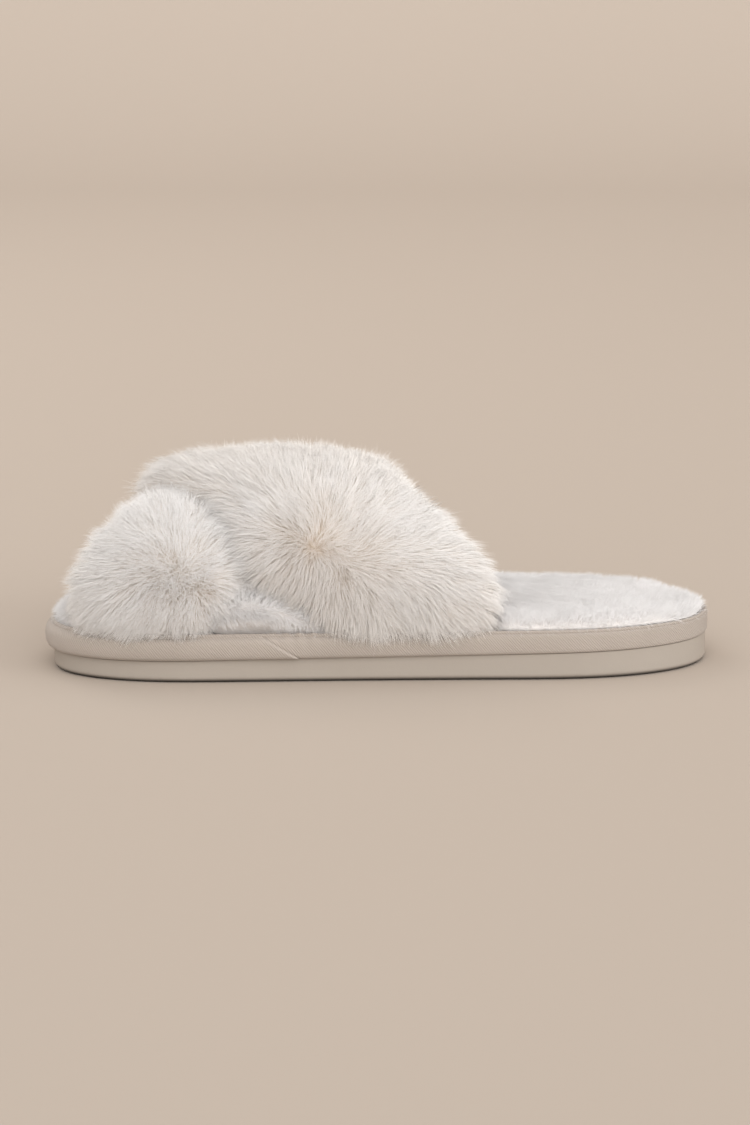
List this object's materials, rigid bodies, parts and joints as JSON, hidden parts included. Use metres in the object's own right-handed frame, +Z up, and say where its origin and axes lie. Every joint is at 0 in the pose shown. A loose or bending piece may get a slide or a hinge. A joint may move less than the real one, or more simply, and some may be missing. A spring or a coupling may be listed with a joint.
{
  "type": "house slipper",
  "caption": "Open-toe, open-back house slipper with crossed faux-fur straps over a plush footbed, a fabric-wrapped platform and a wedge outsole.",
  "frame": {"origin": "on the ground, under the middle of the sole, on the flat land of the outsole's underside", "axes": "+Z up, -X towards the toe, +X towards the heel, -Y towards the inner side of a right foot"},
  "size_m": [0.2634, 0.1129, 0.0868],
  "materials": {
    "moulded_sole": "satin moulded foam rubber, light beige",
    "platform_foam": "closed-cell foam",
    "woven_wrap": "woven twill tape, light beige",
    "backing_board": "non-woven board",
    "cushion_foam": "soft open-cell foam",
    "short_plush": "short-pile plush, off-white",
    "sewing_thread": "spun thread",
    "strap_lining": "brushed fleece",
    "long_fur": "long-pile faux fur, off-white with warm roots"
  },
  "bodies": {
    "root": {"outsole": "moulded_sole", "platform_midsole": "platform_foam", "platform_wrap": "woven_wrap", "sock_backing_board": "backing_board", "footbed_foam": "cushion_foam", "footbed_plush": "short_plush", "sock_wrap_seam_thread": "sewing_thread", "under_strap_lining": "strap_lining", "under_strap_padding": "cushion_foam", "under_strap_fur": "long_fur", "under_strap_front_seam_thread": "sewing_thread", "under_strap_rear_seam_thread": "sewing_thread", "under_strap_near_anchor_stitches": "sewing_thread", "under_strap_far_anchor_stitches": "sewing_thread", "over_strap_lining": "strap_lining", "over_strap_padding": "cushion_foam", "over_strap_fur": "long_fur", "over_strap_front_seam_thread": "sewing_thread", "over_strap_rear_seam_thread": "sewing_thread", "over_strap_near_anchor_stitches": "sewing_thread", "over_strap_far_anchor_stitches": "sewing_thread"}
  },
  "joints": []
}
